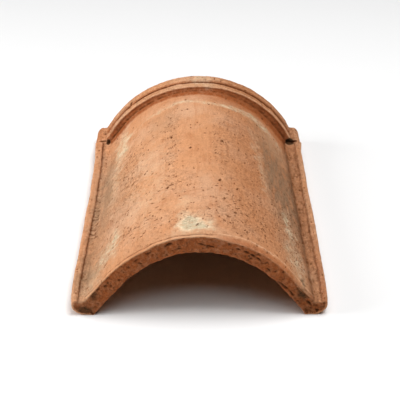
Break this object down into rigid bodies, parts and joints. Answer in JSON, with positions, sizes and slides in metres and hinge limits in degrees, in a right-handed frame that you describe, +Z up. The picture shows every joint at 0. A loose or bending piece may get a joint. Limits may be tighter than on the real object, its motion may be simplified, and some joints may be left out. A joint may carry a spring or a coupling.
{
  "type": "clay ridge tile",
  "caption": "Half-round clay ridge tile with a channel along each side, a plain end, and a beaded collar that laps the next tile.",
  "frame": {"origin": "on the floor under the tile, midway between its two ends and its two sides", "axes": "+Y along the ridge, from the plain end to the collar; +Z up, away from the roof; +X to the right as seen from the plain end"},
  "size_m": [0.264, 0.388, 0.0945],
  "materials": {
    "clay": "unglazed fired terracotta, matt and pitted"
  },
  "bodies": {
    "root": {"ridge_tile": "clay"}
  },
  "joints": []
}
